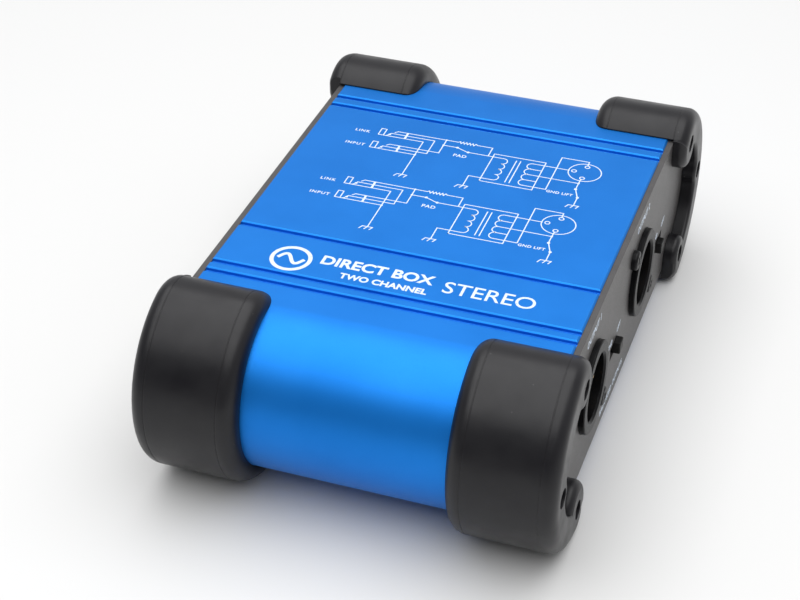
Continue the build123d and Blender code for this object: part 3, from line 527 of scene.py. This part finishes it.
def circuit(ink, y):
    """One channel's circuit, from its jacks on the left to its output on the right.

    The height y is that of the link jack's sleeve line, in millimetres on the top."""
    link, entry = y, y - 6.8
    tip, ring_line, feed = 2.9, 1.5, -1.2
    ground_y = y - 17.0
    for jack in (link, entry):
        jack_symbol(ink, jack)
        ink.stroke((JACK_X, jack), (SLEEVE_X, jack))
        ink.stroke((-24.0, jack + ring_line), (RING_X, jack + ring_line))
    ink.stroke((SLEEVE_X, link), (SLEEVE_X, ground_y))
    ink.stroke((RING_X, link + ring_line), (RING_X, entry + ring_line))
    ink.dot(SLEEVE_X, entry)
    ground_symbol(ink, SLEEVE_X, ground_y)

    # hot line, the pad's resistor and the switch that shorts it
    bypass = link + 0.2
    ink.stroke((TIP_X, entry + tip), (HOT_X, entry + tip), (HOT_X, link + tip))
    ink.stroke((TIP_X, link + tip), (RESISTOR_X, link + tip))
    teeth = []
    for i in range(RESISTOR_TEETH + 1):
        if i in (0, RESISTOR_TEETH):
            rise = 0.0
        else:
            rise = 0.45 if i % 2 else -0.45
        teeth.append((RESISTOR_X + 0.43 * i, link + tip + rise))
    ink.stroke(*teeth, width=TEETH_WIDTH)
    ink.stroke(teeth[-1], (3.1, link + tip), (3.1, link + feed))
    ink.dot(HOT_X, link + tip)
    ink.dot(HOT_X, bypass)
    ink.stroke((HOT_X, bypass), (PAD_LEFT_X, bypass))
    ink.dot(PAD_LEFT_X, bypass, CONTACT_DOT)
    ink.stroke((PAD_LEFT_X, bypass), (PAD_RIGHT_X, link + feed - 0.1))
    ink.dot(PAD_RIGHT_X, link + feed, CONTACT_DOT)

    # transformer in its screen
    coil_top, coil_bottom = link + feed, link - 12.0
    quarter = (coil_top - coil_bottom) / 4
    ink.stroke((PAD_RIGHT_X, coil_top), (PRIMARY_X, coil_top))
    coil(ink, PRIMARY_X, coil_top, coil_bottom, 1)
    ink.stroke((PRIMARY_X, coil_bottom), (COLD_X, coil_bottom), (COLD_X, ground_y))
    ground_symbol(ink, COLD_X, ground_y)
    for x in CORE_X:
        ink.stroke((x, coil_top), (x, coil_bottom))
    coil(ink, SECONDARY_X, coil_top, coil_bottom, -1)
    left, right = SCREEN_X
    low, high = coil_bottom - 1.4, coil_top + 1.5
    ink.stroke((left, low), (left, high), (right, high), (right, low), (left, low))
    for share in (1, 3):
        ink.stroke((SECONDARY_X, coil_top - share * quarter), (right, coil_top - share * quarter))

    # balanced output
    socket_x, socket_y = 28.6, coil_top + 0.1
    pin_reach = 2.8
    over = link + 4.2
    tap = coil_top - 2 * quarter
    ink.stroke((SECONDARY_X, coil_top), (24.5, coil_top))
    around = [(21.3, coil_bottom), (21.3, over), (28.5, over), (28.5, link + 2.3)]
    ink.stroke((SECONDARY_X, coil_bottom), *around)
    ink.stroke((SECONDARY_X, tap), (LIFT_X, tap))
    ink.ring(socket_x, socket_y, 4.2)
    for dx, dy in ((-pin_reach, 0.0), (0.0, pin_reach), (0.0, -pin_reach)):
        ink.ring(socket_x + dx, socket_y + dy, 0.6, steps=20)

    # ground lift switch
    ink.stroke((28.5, socket_y - 3.4), (LIFT_X, tap), (LIFT_X, tap - 2.6))
    ink.dot(LIFT_X, tap)
    ink.dot(LIFT_X, tap - 2.9, CONTACT_DOT)
    ink.stroke((LIFT_X, tap - 2.9), (CHASSIS_X - 0.1, tap - 6.4))
    ink.dot(CHASSIS_X, tap - 6.6, CONTACT_DOT)
    ink.stroke((CHASSIS_X, tap - 6.6), (CHASSIS_X, ground_y))
    ground_symbol(ink, CHASSIS_X, ground_y)

    ink.word("LINK", -31.8, link + 0.5, 1.15, weight=0.03, spacing=1.25)
    ink.word("INPUT", -31.5, entry + 0.6, 1.15, weight=0.03, spacing=1.25)
    ink.word("PAD", -3.8, link - 3.6, 1.3, weight=0.03, spacing=1.1)
    ink.word("GND LIFT", 25.0, coil_bottom - 0.6, 1.05, weight=0.03, spacing=1.1)


def top_print():
    """The circuits of both channels, one behind the other."""
    ink = Print("top_line_art", (0, 0, TOP), (1, 0, 0), (0, 1, 0))
    for y in (27.2, 1.7):
        circuit(ink, y)
    return ink.finish()


def band_print():
    """A plain wave in a ring and the kind of box it is, between the front grooves."""
    ink = Print("top_band_words", (0, 0, TOP), (1, 0, 0), (0, 1, 0))
    sign_x, sign_y, sign_radius = -27.3, -34.0, 4.6
    wave_reach, wave_height, wave_steps = 3.0, 1.7, 20
    ink.ring(sign_x, sign_y, sign_radius, width=1.0 * MM, steps=72)
    wave = []
    for i in range(wave_steps + 1):
        share = i / wave_steps
        wave.append((sign_x + wave_reach * (share - 0.5) * 2, sign_y + wave_height * sin(2 * pi * share)))
    ink.stroke(*wave, width=0.9 * MM)
    ink.word("DIRECT BOX", -6.5, -32.2, 3.5, weight=0.14)
    ink.word("TWO CHANNEL", -3.3, -36.9, 2.1, weight=0.1)
    ink.word("STEREO", 21.4, -33.6, 4.7, weight=0.02)
    return ink.finish()


# ---------------------------------------------------------------- words on the panels


def output_words():
    """Plain function words round the output connectors and the lift switches."""
    ink = Print("output_panel_words", (OUTPUT_FACE, 0, 0), (0, 1, 0), (0, 0, 1))
    for channel in (1, 2):
        xlr_y = middle(f"xlr_shell_{channel}").y / MM
        slot_low, slot_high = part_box(f"lift_switch_frame_{channel}")
        slot_y = (slot_low.y + slot_high.y) / 2 / MM
        slot_z = (slot_low.z + slot_high.z) / 2 / MM
        ink.word(f"OUTPUT {channel}", xlr_y, 42.2, 1.9, weight=0.05, spacing=1.1)
        ink.word("GND", slot_y - 4.4, slot_z + 3.6, 1.5, weight=0.04)
        ink.word("LIFT", slot_y + 4.4, slot_z + 3.6, 1.5, weight=0.04)
    ink.word("BALANCED OUTPUTS", -9.0, 8.0, 1.6, weight=0.04, spacing=1.1)
    return ink.finish()


def input_words():
    """Plain function words and numbers round the jacks and the pad switches, read from outside."""
    ink = Print("input_panel_words", (INPUT_FACE, 0, 0), (0, -1, 0), (0, 0, 1))
    for channel in (1, 2):
        for role in ("link", "input"):
            jack_y = -middle(f"{role}_jack_bushing_{channel}").y / MM
            ink.word(role.upper(), jack_y, AXIS_Z / MM + 10.2, 1.9, weight=0.05, spacing=1.1)
        frame_middle = middle(f"pad_switch_frame_{channel}")
        pad_y, pad_z = -frame_middle.y / MM, frame_middle.z / MM
        ink.word("PAD", pad_y, pad_z + 3.8, 1.6, weight=0.04)
        ink.word("0", pad_y + 5.4, pad_z, 1.5, weight=0.04)
        ink.word("-20", pad_y - 6.3, pad_z, 1.5, weight=0.04)
        link_y = -middle(f"link_jack_bushing_{channel}").y
        input_y = -middle(f"input_jack_bushing_{channel}").y
        pair_y = (link_y + input_y) / 2 / MM
        ink.word(f"CHANNEL {channel}", pair_y, AXIS_Z / MM - 11.5, 1.9, weight=0.05, spacing=1.1)
    return ink.finish()


# ---------------------------------------------------------------- threaded bushings


def threaded_bushing(name, node):
    """The jack's bushing again, with its rolled thread, lead-in and smooth bore."""
    low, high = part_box(node)
    y = (low.y + high.y) / 2
    flange_radius = (high.y - low.y) / 2
    flange_x = high.x - JACK_FLANGE
    around = 72
    slices_per_pitch = 8
    bm = bmesh.new()

    def ring(x, radius_at):
        """One turn of vertices across the bushing at x."""
        verts = []
        for i in range(around):
            turn = 2 * pi * i / around
            radius = radius_at(x, turn)
            verts.append(bm.verts.new((x, y + radius * cos(turn), AXIS_Z + radius * sin(turn))))
        return verts

    def thread(x, turn):
        """Radius of a single-start thread, cut down to a cone at its open end."""
        phase = ((x - low.x) / THREAD_PITCH - turn / (2 * pi)) % 1.0
        radius = THREAD_MINOR + (THREAD_MAJOR - THREAD_MINOR) * min(1.0, 3.2 * min(phase, 1.0 - phase))
        return min(radius, THREAD_MAJOR - THREAD_LEAD_IN + (x - low.x))

    def plain(radius):
        return lambda x, turn: radius

    # out of the bore's mouth, along the thread, round the flange and back into the bore
    rings = [ring(low.x + JACK_BORE_DEPTH, plain(JACK_BORE))]
    rings.append(ring(low.x + JACK_BORE_MOUTH, plain(JACK_BORE)))
    rings.append(ring(low.x, plain(JACK_BORE + JACK_BORE_MOUTH)))
    rings.append(ring(low.x, plain(THREAD_MAJOR - THREAD_LEAD_IN)))
    steps = round((flange_x - low.x) / (THREAD_PITCH / slices_per_pitch))
    for i in range(1, steps):
        rings.append(ring(low.x + (flange_x - low.x) * i / steps, thread))
    rings.append(ring(flange_x, plain(THREAD_MINOR)))
    rings.append(ring(flange_x, plain(flange_radius)))
    rings.append(ring(high.x, plain(flange_radius)))
    rings.append(ring(high.x, plain(JACK_BORE)))
    rings.append(rings[0])
    for a, b in zip(rings, rings[1:]):
        for i in range(around):
            j = (i + 1) % around
            bm.faces.new((a[i], a[j], b[j], b[i]))
    for face in bm.faces:
        face.smooth = True
    piece = new_piece(name, bm, LOOKS["nickel"])
    piece.data.set_sharp_from_angle(angle=radians(35))
    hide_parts(node)
    return piece


for channel in (1, 2):
    for role in ("link", "input"):
        threaded_bushing(f"{role}_jack_thread_{channel}", f"{role}_jack_bushing_{channel}")
top_print()
band_print()
output_words()
input_words()


# ---------------------------------------------------------------- floor, light and camera


def floor():
    """A plain pale floor, far wider than the view."""
    bm = bmesh.new()
    bmesh.ops.create_grid(bm, x_segments=8, y_segments=8, size=FLOOR_REACH)
    mesh = bpy.data.meshes.new("floor")
    bm.to_mesh(mesh)
    bm.free()
    mesh.materials.append(pale_floor())
    plane = bpy.data.objects.new("floor", mesh)
    bpy.context.scene.collection.objects.link(plane)


def softbox(name, place, aim, size, power):
    """A rectangular area light at a place, turned toward its aim."""
    light = bpy.data.lights.new(name, "AREA")
    light.shape = "RECTANGLE"
    light.size, light.size_y = size
    light.energy = power
    lamp = bpy.data.objects.new(name, light)
    lamp.location = place
    lamp.rotation_mode = "QUATERNION"
    lamp.rotation_quaternion = (Vector(aim) - Vector(place)).to_track_quat("-Z", "Y")
    bpy.context.scene.collection.objects.link(lamp)


def surroundings():
    """A white backdrop behind, and a dimmer room on the camera's side."""
    world = bpy.data.worlds.new("tent")
    world.use_nodes = True
    nodes, links = world.node_tree.nodes, world.node_tree.links
    background = nodes["Background"]
    background.inputs["Color"].default_value = TENT_COLOUR
    direction = nodes.new("ShaderNodeVectorMath")
    direction.operation = "DOT_PRODUCT"
    direction.inputs[1].default_value = BACKDROP_SIDE
    links.new(nodes.new("ShaderNodeTexCoord").outputs["Generated"], direction.inputs[0])
    rearward = nodes.new("ShaderNodeMapRange")
    rearward.interpolation_type = "SMOOTHSTEP"
    rearward.inputs["From Min"].default_value = BACKDROP_FADE[0]
    rearward.inputs["From Max"].default_value = BACKDROP_FADE[1]
    rearward.inputs["To Min"].default_value = ROOM_LIGHT
    rearward.inputs["To Max"].default_value = BACKDROP_LIGHT
    links.new(direction.outputs["Value"], rearward.inputs["Value"])
    links.new(rearward.outputs["Result"], background.inputs["Strength"])
    bpy.context.scene.world = world
    bpy.context.scene.view_settings.view_transform = "Standard"


def camera():
    """A long lens in front of the box and above it, turned a little toward the output end."""
    data = bpy.data.cameras.new("camera")
    data.lens = CAMERA_LENS
    data.sensor_width = 36.0
    data.clip_start = 0.02
    data.clip_end = 20.0
    eye = bpy.data.objects.new("camera", data)
    toward = Vector((
        sin(CAMERA_AZIMUTH) * cos(CAMERA_ELEVATION),
        -cos(CAMERA_AZIMUTH) * cos(CAMERA_ELEVATION),
        sin(CAMERA_ELEVATION),
    ))
    eye.location = Vector((*CAMERA_TARGET, TOP)) + toward * CAMERA_DISTANCE
    eye.rotation_mode = "QUATERNION"
    eye.rotation_quaternion = (-toward).to_track_quat("-Z", "Y")
    bpy.context.scene.collection.objects.link(eye)
    bpy.context.scene.camera = eye


floor()
surroundings()
softbox("overhead", OVERHEAD_PLACE, OVERHEAD_AIM, OVERHEAD_SIZE, OVERHEAD_POWER)
camera()
